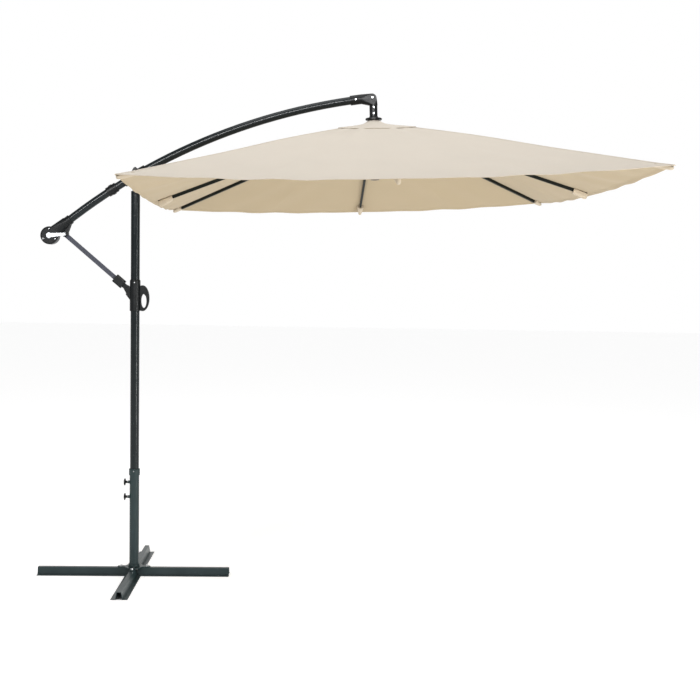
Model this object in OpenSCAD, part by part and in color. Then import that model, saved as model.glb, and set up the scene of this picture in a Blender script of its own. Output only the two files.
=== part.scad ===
// Cantilever parasol: cross base, two-piece pole, arched boom and a square canopy.
// Millimetres. X points to the canopy, Z is up, the origin is on the pole axis at the floor.

/* [Base] */
// Length of the cross bar along the boom
bar_length = 1090; // [900:10:1300]
// Length of the cross bar across the boom
bar_y_length = 990; // [900:10:1300]
// Height of each cross bar
bar_height = 42; // [30:1:60]
// Width of the bar's flat top
bar_top_w = 25; // [18:1:40]
// Width over both bottom flanges
bar_total_w = 91; // [70:1:120]
// Sheet thickness of the bars
bar_t = 2.5; // [2:0.1:4]
// Distance from the pole axis to each foot bolt
bolt_r = 74; // [60:1:90]

/* [Pole] */
// Outer diameter of the lower tube
lower_d = 54; // [50:0.5:60]
// Top of the lower tube above the floor
lower_top = 604; // [500:5:700]
// Outer diameter of the upper pole
pole_d = 50; // [45:0.5:52]
// Top of the upper pole above the floor
pole_top = 2180; // [2000:10:2300]
// Height of the upper thumbscrew
screw_hi = 536; // [480:1:560]
// Height of the lower thumbscrew
screw_lo = 451; // [400:1:470]
// Height of the boom pivot
pivot_z = 2220; // [2150:5:2260]

/* [Boom] */
// Outer diameter of the boom tube
boom_d = 44; // [38:1:50]
// Radius of the boom's arc
boom_r = 3417.4; // [3000:1:4000]
// X of the arc's centre
arc_x = 1761.8; // [1500:1:2000]
// Z of the arc's centre
arc_z = -654; // [-900:1:-400]
// Diameter of the round winch housing
winch_d = 100; // [90:1:120]
// Radius at which the cord lies on the drum
cord_on_drum_r = 12.5; // [10:0.5:20]

/* [Carriage and strut] */
// Lower end of the carriage sleeve
carriage_z0 = 1515; // [1400:5:1600]
// Upper end of the carriage sleeve
carriage_z1 = 1662; // [1600:5:1750]
// X of the strut's lower pivot
strut_lx = -48; // [-60:1:-40]
// Z of the strut's lower pivot
strut_lz = 1645; // [1600:1:1700]
// X of the strut's upper pivot
strut_ux = -392; // [-420:1:-360]
// Z of the strut's upper pivot
strut_uz = 1938; // [1900:1:1980]

/* [Canopy] */
// Side of the square canopy
canopy_side = 2530; // [2000:50:3000]
// X of the hub flange's top
hub_x = 1331; // [1200:5:1500]
// Z of the hub flange's top
hub_z = 2615.5; // [2500:0.5:2700]
// Lean of the hub axis
hub_tilt = 2.3; // [0:0.1:5]
// Turn of the canopy about the hub axis
canopy_turn = 1.5; // [-5:0.5:5]
// Radius of the rib pivots about the hub axis
rib_pivot_r = 46; // [40:1:55]
// Depth of the rib pivots below the flange's top
rib_pivot_z = 33; // [28:1:45]
// Slope of the corner ribs when open
corner_slope = 12.5; // [10:0.1:20]
// Slope of the mid-side ribs when open
mid_slope = 19.2; // [16:0.1:28]
// Rib slope when the canopy is folded
folded_slope = 86; // [80:1:88]
// Width of a rib
rib_w = 12; // [10:1:16]
// Depth of a rib
rib_h = 18; // [14:1:24]
// Runner pivots below the rib pivots, canopy open
runner_h0 = 290; // [240:1:300]
// Runner pivots below the rib pivots, canopy folded
runner_h1 = 750; // [700:5:820]
// Radius of the runner pivots
runner_r = 40; // [36:1:46]
// Thickness of the cloth
cloth_t = 1.2; // [1:0.1:2]

/* [Hidden] */
$fn = 48;
corner_len = 1768;
mid_len = 1240;
drop = 15.5;
run_e = rib_pivot_r - runner_r;
strut_l = norm([strut_ux - strut_lx, strut_uz - strut_lz]);
strut_a = atan2(strut_uz - strut_lz, strut_lx - strut_ux);
winch_x = -474.1;
winch_z = 1930.4;
pulley_r = 14;
pulley_zh = 118;
half = canopy_side / 2;
steel = [0.13, 0.15, 0.17];
black = [0.05, 0.05, 0.06];
greenish = [0.17, 0.22, 0.23];
grey = [0.33, 0.34, 0.38];
silver = [0.75, 0.77, 0.8];
cream = [0.86, 0.8, 0.7];

// Distance along a rib of slope s to its stretcher joint.
function joint_u(s) =
  (pow(runner_h1, 2) - pow(runner_h0, 2)
   - 2 * runner_h1 * drop * cos(folded_slope) + 2 * runner_h0 * drop * cos(s)
   + 2 * run_e * drop * (sin(s) - sin(folded_slope)))
  / (2 * run_e * (cos(s) - cos(folded_slope))
     + 2 * (runner_h1 * sin(folded_slope) - runner_h0 * sin(s)));
// Stretcher joint in the rib's upright plane: [outwards from the rib pivot, down from it].
function joint_xy(s) = [joint_u(s) * cos(s) - drop * sin(s), joint_u(s) * sin(s) + drop * cos(s)];
function stretcher_l(s) = norm([joint_xy(s)[0] + run_e, runner_h0 - joint_xy(s)[1]]);
function stretcher_a(s) = atan2(runner_h0 - joint_xy(s)[1], joint_xy(s)[0] + run_e);

module ring(d, di, h) {
  difference() {
    cylinder(d = d, h = h);
    translate([0, 0, -1]) cylinder(d = di, h = h + 2);
  }
}
module at_hub() {
  translate([hub_x, 0, hub_z]) rotate([0, -hub_tilt, 0]) children();
}
// The same, turned about the hub's axis as the canopy is.
module at_canopy() {
  at_hub() rotate([0, 0, canopy_turn]) children();
}
// A cylinder along Y, centred at x, z.
module y_cyl(x, z, r, y0, y1) {
  translate([x, y1, z]) rotate([90, 0, 0]) cylinder(r = r, h = y1 - y0);
}
// A round bar bent along the boom's arc, from angle a0 to a1 left of the top.
module arc_bar(rr, a0, a1, lift = 0) {
  translate([arc_x, 0, arc_z]) rotate([90, 0, 0]) rotate([0, 0, 90 + a1])
    rotate_extrude(angle = a0 - a1, $fn = 480)
      translate([boom_r + lift, 0]) circle(r = rr, $fn = 40);
}
module arc_ring(ro, ri, a0, a1) {
  translate([arc_x, 0, arc_z]) rotate([90, 0, 0]) rotate([0, 0, 90 + a1])
    rotate_extrude(angle = a0 - a1, $fn = 480)
      translate([boom_r, 0]) difference() {
        circle(r = ro, $fn = 40);
        circle(r = ri, $fn = 40);
      }
}
// Puts children on the arc at angle a, their Z along the boom towards the canopy.
module on_arc(a) {
  translate([arc_x - boom_r * sin(a), 0, arc_z + boom_r * cos(a)]) rotate([0, 90 - a, 0])
    children();
}

module bar_profile() {
  t = bar_t;
  w = bar_top_w / 2;
  f = bar_total_w / 2;
  polygon([[-w, bar_height], [w, bar_height], [w + 8.1, t - 0.5], [w + 10, t - 0.5], [w + 10, t], [f, t], [f, 0], [w + 5.5, 0],
    [w - 2.2, bar_height - t], [-w + 2.2, bar_height - t], [-w - 5.5, 0], [-f, 0], [-f, t],
    [-w - 10, t], [-w - 10, t - 0.5], [-w - 8.1, t - 0.5]]);
}
module bar_x_raw(l) {
  translate([-l / 2, 0, 0]) rotate([90, 0, 90]) linear_extrude(height = l) bar_profile();
}
module foot_holes(r) {
  for (i = [0 : 3]) rotate([0, 0, 90 * i]) translate([bolt_r, 0, 20]) cylinder(r = r, h = 50);
}
module cross_bar_x() {
  color(greenish) union() {
    difference() {
      bar_x_raw(bar_length);
      translate([-21.5, -60, bar_t]) cube([43, 120, 60]);
      for (y = [-60, 20.6]) translate([-46.2, y, -1]) cube([92.4, 39.4, 9]);
      foot_holes(4.3);
    }
    translate([-60, -19, 0]) cube([120, 38, bar_t]);
  }
}
module cross_bar_y() {
  color(greenish) difference() {
    rotate([0, 0, 90]) bar_x_raw(bar_y_length);
    translate([-60, -21.2, -1]) cube([120, 42.4, 4]);
    translate([20.6, -21.2, -1]) cube([60, 42.4, 60]);
    translate([-80.6, -21.2, -1]) cube([60, 42.4, 60]);
    translate([-19.5, -60.5, -1]) cube([39, 121, 4]);
    foot_holes(4.3);
  }
}
module foot_plate() {
  color(greenish) difference() {
    union() {
      translate([0, 0, bar_height]) linear_extrude(height = 6) union() {
        for (i = [0, 90]) rotate([0, 0, i]) hull() {
          translate([bolt_r + 6, 0]) circle(r = 14);
          translate([-bolt_r - 6, 0]) circle(r = 14);
        }
        circle(r = 52);
      }
      translate([0, 0, bar_height + 6]) ring(64, lower_d, 16);
      translate([0, 0, bar_height + 6]) ring(44, 38, 40);
    }
    foot_holes(4.3);
  }
}
module foot_bolts() {
  color(silver) for (i = [0 : 3]) rotate([0, 0, 90 * i]) translate([bolt_r, 0, 0]) {
    translate([0, 0, bar_height + 6]) cylinder(r = 9, h = 1.6);
    translate([0, 0, bar_height + 7.6]) cylinder(d = 15, h = 5.5, $fn = 6);
    translate([0, 0, 30]) cylinder(r = 4, h = bar_height + 8 - 30);
    translate([0, 0, bar_height - bar_t - 6.8]) cylinder(d = 15, h = 6.5, $fn = 6);
  }
}
module stud_hole(z, r) {
  translate([-60, 0, z]) rotate([0, 90, 0]) cylinder(r = r, h = 60);
}
module lower_tube() {
  color(greenish) difference() {
    union() {
      translate([0, 0, bar_height + 6]) cylinder(d = lower_d, h = lower_top - bar_height - 6);
      for (z = [screw_lo, screw_hi])
        translate([-35, 0, z]) rotate([0, 90, 0]) cylinder(r = 9, h = 12);
    }
    translate([0, 0, bar_height]) cylinder(d = lower_d - 3, h = lower_top);
    stud_hole(screw_lo, 4.08);
    stud_hole(screw_hi, 4.08);
  }
}
module tube_collar() {
  color(greenish) difference() {
    translate([0, 0, 577]) rotate_extrude() polygon([[27, 0], [30, 0], [31, 1.5], [31, 34.5],
      [29, 37], [25.5, 37], [25.5, 27], [27, 27]]);
  }
}
module thumb_stud(z) {
  translate([-45, 0, z]) rotate([0, 90, 0]) cylinder(r = 4, h = 19.6);
}
module thumb_knob(z) {
  translate([-60, 0, z]) rotate([0, 90, 0]) rotate_extrude() polygon([[0, 0], [12, 0.6],
    [18, 2.4], [21, 5], [21, 7.5], [17, 9.5], [9, 11.5], [7, 13.5], [7, 23.5], [4.05, 23.5],
    [4.05, 14], [0, 14]]);
}
module upper_screw_stud() {
  color(silver) thumb_stud(screw_hi);
}
module upper_screw_knob() {
  color(black) thumb_knob(screw_hi);
}
module lower_screw_stud() {
  color(silver) thumb_stud(screw_lo);
}
module lower_screw_knob() {
  color(black) thumb_knob(screw_lo);
}

module upper_pole() {
  color(steel) translate([0, 0, bar_height + 7]) ring(pole_d, 46, pole_top - bar_height - 7);
}
module pole_head() {
  color(black) difference() {
    union() {
      translate([0, 0, pole_top - 40]) cylinder(d = 45.9, h = 42);
      translate([0, 0, pole_top + 0.02]) cylinder(d = pole_d, h = 5.98);
      for (s = [-1, 1]) hull() {
        y_cyl(0, pivot_z, 18, s * 18 - 4, s * 18 + 4);
        translate([-12, s * 17.5 - 3.9, pole_top + 0.5]) cube([24, 7.8, 5]);
      }
    }
    y_cyl(0, pivot_z, 5.05, -30, 30);
  }
}
module head_pin() {
  color(silver) union() {
    y_cyl(0, pivot_z, 5, -26, 26);
    y_cyl(0, pivot_z, 9, -27, -22.2);
    y_cyl(0, pivot_z, 9, 22.2, 27);
  }
}

module carriage_sleeve() {
  color(black) difference() {
    union() {
      translate([0, 0, carriage_z0]) cylinder(d = 60, h = carriage_z1 - carriage_z0);
      for (s = [-1, 1]) hull() {
        y_cyl(strut_lx, strut_lz, 15.5, s * 11 - 3, s * 11 + 3);
        translate([-28, s * 11 - 3, strut_lz - 68]) cube([4, 6, 70]);
      }
      hull() {
        translate([-50, -14, strut_lz - 38]) cube([4, 28, 6]);
        translate([-28, -14, strut_lz - 68]) cube([4, 28, 40]);
      }
    }
    translate([0, 0, carriage_z0 - 1]) cylinder(d = pole_d + 0.8, h = 200);
    y_cyl(strut_lx, strut_lz, 4, -20, 20);
  }
}
module carriage_cap() {
  color(black) translate([0, 0, carriage_z1]) rotate_extrude() polygon([[25.4, 0], [29.6, 0],
    [29.6, 24], [27.5, 29], [25.4, 29]]);
}
module grip_2d() {
  translate([42, 1587]) scale([38, 73]) circle(r = 1, $fn = 64);
}
module grip_hole_2d() {
  translate([49.5, 1572]) scale([15, 39]) circle(r = 1, $fn = 48);
}
module grip_loop() {
  color(black) difference() {
    translate([0, 7, 0]) rotate([90, 0, 0]) linear_extrude(height = 14) difference() {
      grip_2d();
      grip_hole_2d();
    }
    translate([0, 0, 1500]) cylinder(d = 60, h = 200);
    translate([0, 4.6, 0]) rotate([90, 0, 0]) linear_extrude(height = 9.2) hull() {
      translate([46, 1622]) circle(r = 6.5);
      translate([62, 1607]) circle(r = 6.5);
      translate([52, 1592]) circle(r = 5);
    }
    y_cyl(46, 1622, 2.05, -10, 10);
  }
}
module release_trigger() {
  color(grey) union() {
    translate([0, 4, 0]) rotate([90, 0, 0]) linear_extrude(height = 8) hull() {
      translate([46, 1622]) circle(r = 5);
      translate([60, 1604]) circle(r = 3.5);
    }
    y_cyl(46, 1622, 2, -6.5, 6.5);
  }
}

// Along the strut: local X runs from the lower pivot to the upper one.
module along_strut() {
  translate([strut_lx, 0, strut_lz]) rotate([0, -(180 - strut_a), 0]) children();
}
module strut_bar() {
  color(grey) difference() {
    union() {
      along_strut() translate([60, -6, -12.3]) cube([strut_l - 60, 12, 24.6]);
      y_cyl(strut_ux, strut_uz, 13, -6.3, 6.3);
    }
    y_cyl(strut_ux, strut_uz, 4.06, -10, 10);
    along_strut() translate([50, -4.5, -10.8]) cube([strut_l - 78, 9, 21.6]);
  }
}
module strut_sleeve() {
  color(black) union() {
    difference() {
      along_strut() translate([24, 0, 0]) rotate([0, 90, 0]) linear_extrude(height = 61)
        offset(r = 8) square([34, 14], center = true);
      along_strut() translate([60, -6, -12.3]) cube([60, 12, 24.6]);
    }
    along_strut() translate([0, -7.4, -13.5]) cube([30, 14.8, 27]);
    y_cyl(strut_lx, strut_lz, 12, -7.4, 7.4);
  }
}
module strut_pin() {
  color(silver) union() {
    y_cyl(strut_ux, strut_uz, 4, -15, 15);
    y_cyl(strut_ux, strut_uz, 7, -17, -13.2);
    y_cyl(strut_ux, strut_uz, 7, 13.2, 17);
  }
}

module boom_tube() {
  color(steel) arc_ring(boom_d / 2, boom_d / 2 - 1.8, 39.2, 8.4);
}
module head_clamp() {
  color(black) difference() {
    union() {
      arc_bar(28, 32.3, 29.9);
      y_cyl(0, pivot_z, 14, -13.5, 13.5);
      hull() {
        y_cyl(0, pivot_z, 13, -13.5, 13.5);
        on_arc(31.7) translate([20, -13.5, -22]) cube([4, 27, 48]);
      }
      hull() {
        on_arc(30.9) translate([-30, -7, -16]) cube([8, 14, 36]);
        on_arc(30.9) translate([-42, -7, 4]) cube([8, 14, 12]);
      }
    }
    arc_bar(boom_d / 2 + 0.05, 33.5, 28);
    y_cyl(0, pivot_z, 5.05, -30, 30);
    on_arc(30.9) translate([-50, -1, -20]) cube([30, 2, 50]);
  }
}
module boom_collar() {
  color(black) union() {
    arc_ring(27, boom_d / 2, 34.1, 33.1);
    arc_ring(30, 25, 33.75, 33.45);
  }
}
module rear_socket() {
  color(black) difference() {
    union() {
      arc_bar(27, 39.6, 38.4);
      hull() {
        on_arc(39.1) cylinder(r = 30, h = 14);
        y_cyl(winch_x, winch_z, 36, -20, 20);
      }
      for (s = [-1, 1]) hull() {
        y_cyl(strut_ux, strut_uz, 14, s * 9.8 - 3.2, s * 9.8 + 3.2);
        on_arc(39.1) translate([10, s * 9.8 - 3.2, -24]) cube([10, 6.4, 60]);
      }
    }
    arc_bar(boom_d / 2 + 0.05, 39.21, 37);
    arc_bar(16, 41.5, 38.8);
    screw_set(0.05);
    y_cyl(winch_x, winch_z, winch_d / 2 + 0.02, -40, 40);
    y_cyl(strut_ux, strut_uz, 4.02, -20, 20);
    y_cyl(strut_ux, strut_uz, 16, -6.6, 6.6);
    translate([strut_ux, 6.6, strut_uz]) rotate([90, 0, 0]) linear_extrude(height = 13.2)
      polygon([[-12, -11], [45, -75], [85, -40], [85, 17], [0, 16]]);
  }
}
module winch_housing() {
  color(black) difference() {
    y_cyl(winch_x, winch_z, winch_d / 2, -22, 24);
    y_cyl(winch_x, winch_z, winch_d / 2 - 4, -23, 20);
    y_cyl(winch_x, winch_z, 6.05, 15, 30);
    arc_bar(17, 41.6, 37.5, 6);
  }
}
module winch_cover() {
  color(black) difference() {
    union() {
      y_cyl(winch_x, winch_z, winch_d / 2, -25, -22);
      translate([winch_x, -25, winch_z]) rotate([90, 0, 0])
        cylinder(r1 = winch_d / 2 - 3, r2 = winch_d / 2 - 9, h = 3);
    }
    y_cyl(winch_x, winch_z, 6.05, -40, 0);
    screw_set(0.05);
  }
}
module elbow() {
  color(black) difference() {
    union() {
      arc_bar(27, 9.5, 8.3);
      hull() {
        on_arc(8.5) cylinder(r = 27, h = 2, $fn = 40);
        at_hub() y_cyl(-8, pulley_zh - 3, 26, -24, 24);
        at_hub() translate([0, 0, 78]) cylinder(d = 48, h = 4);
      }
      at_hub() translate([0, 0, 8.05]) cylinder(d = 45, h = 82);
      at_hub() translate([0, 0, 8.05]) cylinder(d1 = 54, d2 = 48, h = 8);
    }
    arc_bar(boom_d / 2 + 0.05, 10, 8.39);
    arc_bar(17, 8.6, 7.6);
    at_hub() y_cyl(-pulley_r, pulley_zh, 19.5, -14, 14);
    at_hub() translate([0, 0, -1]) cylinder(r = 12, h = pulley_zh);
    at_hub() y_cyl(-pulley_r, pulley_zh, 3.06, -18, 18);
    screw_set(0.05);
  }
}
module cord_pulley() {
  color(grey) at_hub() translate([-pulley_r, 0, pulley_zh]) rotate([90, 0, 0]) union() {
    rotate_extrude() polygon([[0, -6], [18, -6], [18, -4.5], [11, -2.6], [11, 2.6], [18, 4.5],
      [18, 6], [0, 6]]);
    translate([0, 0, -17]) cylinder(r = 3, h = 34);
  }
}
// The screw heads on the boom's castings, grown all round by g to cut their seats.
module screw_set(g) {
  for (a = [39.0, 9.0]) on_arc(a) rotate([90, 0, 0]) translate([0, 0, 26 - g])
    cylinder(r = 5 + g, h = 3.5 + g);
  at_hub() translate([-6, -22.5 + g, pulley_zh + 2]) rotate([90, 0, 0])
    cylinder(r = 5 + g, h = 4 + g);
  at_hub() for (z = [32, 66]) translate([0, -21 + g, z]) rotate([90, 0, 0])
    cylinder(r = 4.5 + g, h = 4.5 + g);
  for (i = [0 : 2]) translate([winch_x, -22.1 + g, winch_z]) rotate([0, 30 + i * 120, 0])
    translate([38, 0, 0]) rotate([90, 0, 0]) cylinder(r = 3.2 + g, h = 7.4 + g);
}
module boom_screws() {
  color(silver) screw_set(0);
}
module lift_cord() {
  color(silver) union() {
    translate([arc_x, 0, arc_z]) rotate([90, 0, 0]) rotate([0, 0, 90 + 7.6])
      rotate_extrude(angle = 33.3, $fn = 240)
        translate([boom_r + cord_on_drum_r, 0]) circle(r = 1.5, $fn = 14);
    at_hub() translate([-pulley_r, 0, pulley_zh]) rotate([90, 0, 0])
      rotate_extrude(angle = 95.2) translate([pulley_r, 0]) circle(r = 1.5, $fn = 14);
    at_hub() translate([0, 0, -rib_pivot_z - runner_h0 + 6])
      cylinder(r = 1.5, h = pulley_zh + rib_pivot_z + runner_h0 - 6, $fn = 14);
  }
}
module cord_drum() {
  color(grey) union() {
    y_cyl(winch_x, winch_z, 10.9, -10, 10);
    y_cyl(winch_x, winch_z, 34, -16, -10);
    y_cyl(winch_x, winch_z, 34, 10, 16);
    y_cyl(winch_x, winch_z, 6, -30, 22);
  }
}
module crank_arm() {
  color(silver) union() {
    difference() {
      y_cyl(winch_x, winch_z, 15, -37, -29);
      y_cyl(winch_x, winch_z, 6.02, -30.02, -20);
    }
    y_cyl(winch_x, winch_z, 8, -40, -37);
    hull() {
      y_cyl(winch_x, winch_z, 12, -36.9, -30.6);
      y_cyl(winch_x + 105, winch_z + 10, 6.5, -36.9, -32);
    }
    y_cyl(winch_x + 105, winch_z + 10, 4, -60, -36.9);
  }
}
module crank_knob() {
  color(black) difference() {
    translate([winch_x + 105, -38, winch_z + 10]) rotate([90, 0, 0]) rotate_extrude()
      polygon([[4.08, 0], [8, 0], [9.5, 4], [9.5, 20], [7.5, 25], [0, 25], [0, 23], [4.08, 23]]);
  }
}

module slots(r0, z0, h, w) {
  for (i = [0 : 7]) rotate([0, 0, 45 * i]) translate([r0, -w / 2, z0]) cube([40, w, h]);
}
module hub_pin_holes(r, z, d) {
  for (i = [0 : 7]) rotate([0, 0, 45 * i]) y_cyl(r, z, d / 2, -10, 10);
}
module top_hub() {
  color(black) at_canopy() difference() {
    union() {
      translate([0, 0, -rib_pivot_z - 9]) cylinder(r = 53, h = 17);
      translate([0, 0, -rib_pivot_z - 16]) cylinder(r = 26, h = rib_pivot_z + 16 - 4.02);
    }
    slots(36.5, -60, 60, 8.6);
    hub_pin_holes(rib_pivot_r, -rib_pivot_z, 4.1);
    translate([0, 0, -80]) cylinder(r = 6, h = 90);
  }
}
module hub_flange() {
  color(black) at_hub() difference() {
    translate([0, 0, -4]) rotate_extrude() polygon([[6, 0], [44.5, 0], [46.5, 2], [46.5, 8],
      [44, 10.5], [25, 12], [6, 12]]);
  }
}
module runner() {
  zr = -rib_pivot_z - runner_h0;
  color(black) at_canopy() difference() {
    union() {
      translate([0, 0, zr - 9]) cylinder(r = 47, h = 18);
      translate([0, 0, zr - 16]) cylinder(r = 24, h = 38);
    }
    slots(32, zr - 40, 80, 8.6);
    translate([0, 0, zr - 30]) cylinder(r = 1.9, h = 90);
    translate([0, 0, zr - 30]) cylinder(r = 12, h = 22);
  }
}

// Children in the upright plane of the rib at azimuth az, origin at the rib's pivot.
module at_rib(az) {
  at_canopy() rotate([0, 0, az]) translate([rib_pivot_r, 0, -rib_pivot_z]) children();
}
module rib(az, s, len) {
  u = joint_u(s);
  color(black) at_rib(az) rotate([0, s, 0]) union() {
    difference() {
      union() {
        translate([15, -rib_w / 2, -rib_h / 2]) cube([len - 15, rib_w, rib_h]);
        y_cyl(0, 0, 6.5, -4, 4);
        translate([0, -4, -6.5]) cube([17, 8, 13]);
        for (q = [-1, 1]) hull() {
          y_cyl(u, -drop, 6, q * 5.2 - 0.8, q * 5.2 + 0.8);
          translate([u - 14, q * 5.2 - 0.8, -rib_h / 2 - 0.5]) cube([28, 1.6, 1.5]);
        }
      }
      translate([22, -rib_w / 2 + 1, -rib_h / 2 + 1]) cube([len, rib_w - 2, rib_h - 2]);
    }
    translate([len - 6, -rib_w / 2 + 1, -rib_h / 2 + 1]) cube([6, rib_w - 2, rib_h - 2]);
    y_cyl(0, 0, 2, -9, 9);
    y_cyl(u, -drop, 2, -7, 7);
  }
}
module stretcher(az, s) {
  j = joint_xy(s);
  l = stretcher_l(s);
  color(black) at_rib(az) translate([j[0], 0, -j[1]]) rotate([0, -stretcher_a(s), 0])
    difference() {
      union() {
        translate([-l, -3.5, -5]) cube([l, 7, 10]);
        y_cyl(0, 0, 5, -3.5, 3.5);
        y_cyl(-l, 0, 5, -3.5, 3.5);
      }
      y_cyl(0, 0, 2.06, -8, 8);
      y_cyl(-l, 0, 2.06, -8, 8);
    }
}
// Height of the cloth's underside over a rib of slope s, at radius r.
function cloth_z(r, s) = -rib_pivot_z - (r - rib_pivot_r) * tan(s) + rib_h / 2 / cos(s) + 0.4;
function on_az(r, az, z) = [r * cos(az), r * sin(az), z];
function mid_pt(a, b, k) = a + (b - a) * k;
// A thin sheet over three rows of points: left, rib and right.
module sheet3(lf, rb, rt, t) {
  n = len(rb);
  up = [0, 0, t];
  top = concat([for (p = lf) p + up], [for (p = rb) p + up], [for (p = rt) p + up]);
  bot = concat(lf, rb, rt);
  m = 3 * n;
  q = [for (c = [0, 1], i = [0 : n - 2]) [c * n + i, c * n + i + 1, c * n + n + i + 1, c * n + n + i]];
  raw = concat(
    [for (f = q) [f[0], f[1], f[2]]], [for (f = q) [f[0], f[2], f[3]]],
    [for (f = q) [f[2] + m, f[1] + m, f[0] + m]], [for (f = q) [f[3] + m, f[2] + m, f[0] + m]],
    [for (i = [0 : n - 2]) [i + m, i + 1 + m, i + 1]], [for (i = [0 : n - 2]) [i + m, i + 1, i]],
    [for (i = [0 : n - 2]) [2 * n + i, 2 * n + i + 1, 2 * n + i + 1 + m]],
    [for (i = [0 : n - 2]) [2 * n + i, 2 * n + i + 1 + m, 2 * n + i + m]],
    [[0, n, n + m], [0, n + m, m], [n, 2 * n, 2 * n + m], [n, 2 * n + m, n + m]],
    [[n + m - 1, 2 * n + m - 1, 2 * n - 1], [n + m - 1, 2 * n - 1, n - 1]],
    [[2 * n + m - 1, 3 * n + m - 1, 3 * n - 1], [2 * n + m - 1, 3 * n - 1, 2 * n - 1]]);
  polyhedron(points = concat(top, bot), faces = [for (f = raw) [f[2], f[1], f[0]]]);
}
// Cloth points along a corner rib, a mid-side rib and the line between them.
function corner_row(az) = [for (r = [200, 700, 1250, half * sqrt(2)])
  on_az(r, az, cloth_z(r, corner_slope) + 2.2)];
function mid_row(az) = [for (r = [150, 500, 880, half - 14]) on_az(r, az, cloth_z(r, mid_slope))];
function seam_row(az) = let (a = round((az - 45) / 90) * 90 + 45, b = round(az / 90) * 90,
  c = corner_row(a), d = mid_row(b))
  [mid_pt(c[0], d[0], 0.5), mid_pt(c[1], d[1], 0.5), mid_pt(c[2], d[2], 0.5),
   mid_pt(c[3], d[3], 0.5) - on_az(18, b, -4)];
function cap_corner(az) = [on_az(33, az, -6.4), on_az(75, az, -25), on_az(150, az, -44),
  on_az(300, az, -69)];
function cap_mid(az) = [on_az(33, az, -6.4), on_az(60, az, -22), on_az(106, az, -40),
  on_az(212, az, -69)];
function cap_seam(az) = let (a = round((az - 45) / 90) * 90 + 45, b = round(az / 90) * 90,
  c = cap_corner(a), d = cap_mid(b)) [for (i = [0 : 3]) mid_pt(c[i], d[i], 0.5)];
module pocket(az, s, len, h) {
  translate([0, 0, -rib_pivot_z]) rotate([0, 0, az]) translate([rib_pivot_r, 0, 0])
    rotate([0, s, 0]) difference() {
      translate([len - 78, -9.5, -h]) cube([84, 19, h + rib_h / 2 - 0.3]);
      translate([len - 90, -7.5, -rib_h / 2 - 1.5]) cube([92, 15, rib_h + 20]);
    }
}
module panel_corner(az) {
  color(cream) at_canopy() union() {
    sheet3(seam_row(az - 22.5), corner_row(az), seam_row(az + 22.5), cloth_t);
    sheet3(cap_seam(az - 22.5), cap_corner(az), cap_seam(az + 22.5), cloth_t);
    pocket(az, corner_slope, corner_len, 14);
  }
}
module panel_mid(az) {
  color(cream) at_canopy() union() {
    sheet3(seam_row(az - 22.5), mid_row(az), seam_row(az + 22.5), cloth_t);
    sheet3(cap_seam(az - 22.5), cap_mid(az), cap_seam(az + 22.5), cloth_t);
    pocket(az, mid_slope, mid_len, 24);
  }
}
module rib_right() { rib(0, mid_slope, mid_len); }
module rib_back_right() { rib(45, corner_slope, corner_len); }
module rib_back() { rib(90, mid_slope, mid_len); }
module rib_back_left() { rib(135, corner_slope, corner_len); }
module rib_left() { rib(180, mid_slope, mid_len); }
module rib_front_left() { rib(225, corner_slope, corner_len); }
module rib_front() { rib(270, mid_slope, mid_len); }
module rib_front_right() { rib(315, corner_slope, corner_len); }
module stretcher_right() { stretcher(0, mid_slope); }
module stretcher_back_right() { stretcher(45, corner_slope); }
module stretcher_back() { stretcher(90, mid_slope); }
module stretcher_back_left() { stretcher(135, corner_slope); }
module stretcher_left() { stretcher(180, mid_slope); }
module stretcher_front_left() { stretcher(225, corner_slope); }
module stretcher_front() { stretcher(270, mid_slope); }
module stretcher_front_right() { stretcher(315, corner_slope); }
module panel_right() { panel_mid(0); }
module panel_back_right() { panel_corner(45); }
module panel_back() { panel_mid(90); }
module panel_back_left() { panel_corner(135); }
module panel_left() { panel_mid(180); }
module panel_front_left() { panel_corner(225); }
module panel_front() { panel_mid(270); }
module panel_front_right() { panel_corner(315); }
cross_bar_x();
cross_bar_y();
foot_plate();
foot_bolts();
lower_tube();
tube_collar();
upper_screw_stud();
upper_screw_knob();
lower_screw_stud();
lower_screw_knob();
upper_pole();
pole_head();
head_pin();
carriage_sleeve();
carriage_cap();
grip_loop();
release_trigger();
strut_bar();
strut_sleeve();
strut_pin();
boom_tube();
head_clamp();
boom_collar();
rear_socket();
winch_housing();
winch_cover();
elbow();
boom_screws();
lift_cord();
top_hub();
hub_flange();
cord_pulley();
cord_drum();
crank_arm();
crank_knob();
runner();
rib_right();
rib_back_right();
rib_back();
rib_back_left();
rib_left();
rib_front_left();
rib_front();
rib_front_right();
stretcher_right();
stretcher_back_right();
stretcher_back();
stretcher_back_left();
stretcher_left();
stretcher_front_left();
stretcher_front();
stretcher_front_right();
panel_right();
panel_back_right();
panel_back();
panel_back_left();
panel_left();
panel_front_left();
panel_front();
panel_front_right();
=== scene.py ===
import math

import bmesh
import bpy
import numpy as np
from mathutils import Matrix, Vector


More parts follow.
